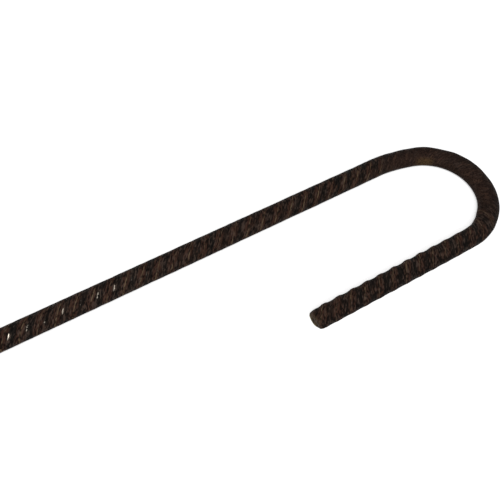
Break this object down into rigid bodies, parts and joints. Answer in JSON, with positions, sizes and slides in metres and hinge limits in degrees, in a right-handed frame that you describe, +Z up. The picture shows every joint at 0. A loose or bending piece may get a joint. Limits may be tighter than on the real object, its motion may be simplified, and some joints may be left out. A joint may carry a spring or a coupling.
{
  "type": "hooked reinforcing bar",
  "caption": "Half-inch deformed steel reinforcing bar with a straight shank and a half-circle hook that turns back into a short straight tail.",
  "frame": {"origin": "on the floor that the bar lies on, under the middle of its box", "axes": "+X along the shank towards the hook, +Y from the tail's side to the shank's side, +Z up, square to the plane of the hook"},
  "size_m": [0.61, 0.095, 0.0137],
  "materials": {
    "hot_rolled_steel": "hot-rolled carbon steel under black-brown mill scale, with light rust and rubbed rib crests"
  },
  "bodies": {
    "root": {"hooked_bar": "hot_rolled_steel"}
  },
  "joints": []
}
